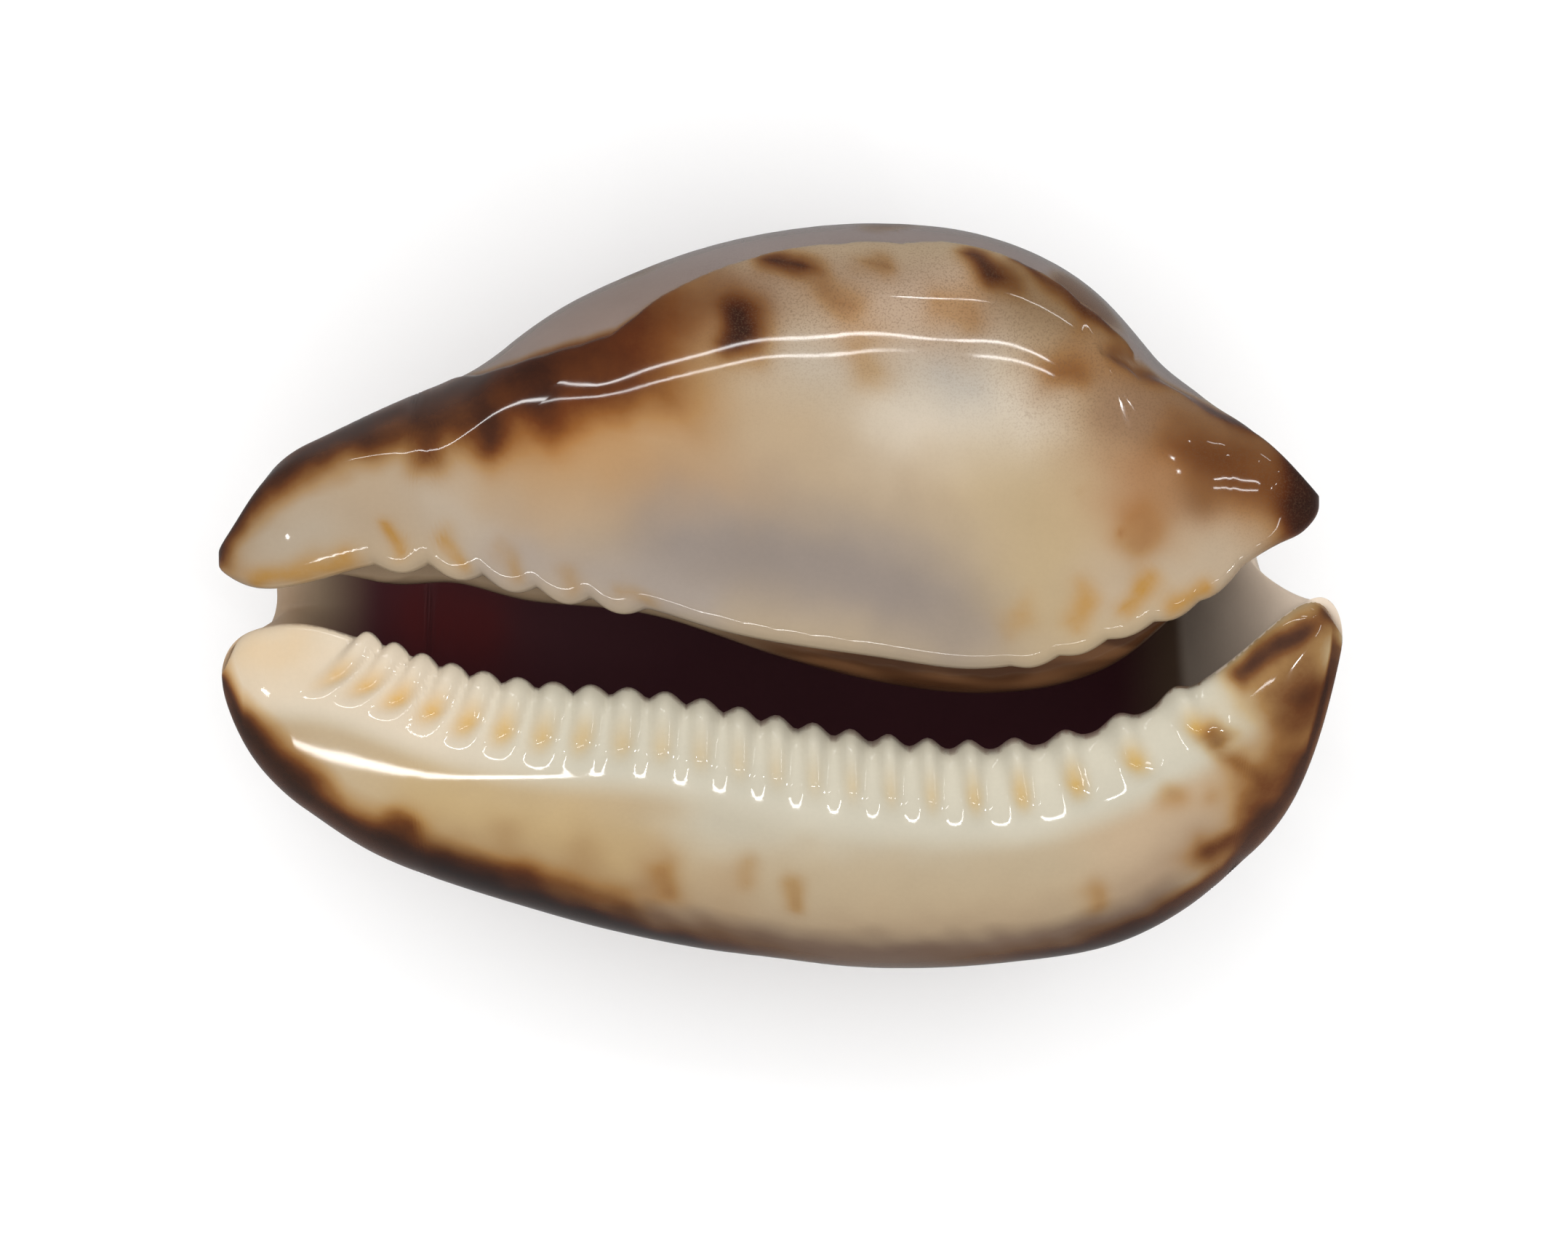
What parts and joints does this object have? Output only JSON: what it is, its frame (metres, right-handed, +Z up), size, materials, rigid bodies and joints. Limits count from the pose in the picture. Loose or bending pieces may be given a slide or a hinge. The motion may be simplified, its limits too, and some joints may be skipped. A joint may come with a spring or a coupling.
{
  "type": "cowry shell",
  "caption": "Glossy egg-shaped cowry shell lying on its back with its narrow toothed mouth facing up, for display or as a natural prop.",
  "frame": {"origin": "centre of the small flat spot on the shell's back, on which it lies", "axes": "+X towards the spire end along the shell, +Y towards the columellar side, +Z up out of the surface it lies on"},
  "size_m": [0.0679, 0.046, 0.0384],
  "materials": {
    "shell": "natural porcelain-like gloss"
  },
  "bodies": {
    "root": {"shell": "shell"}
  },
  "joints": []
}
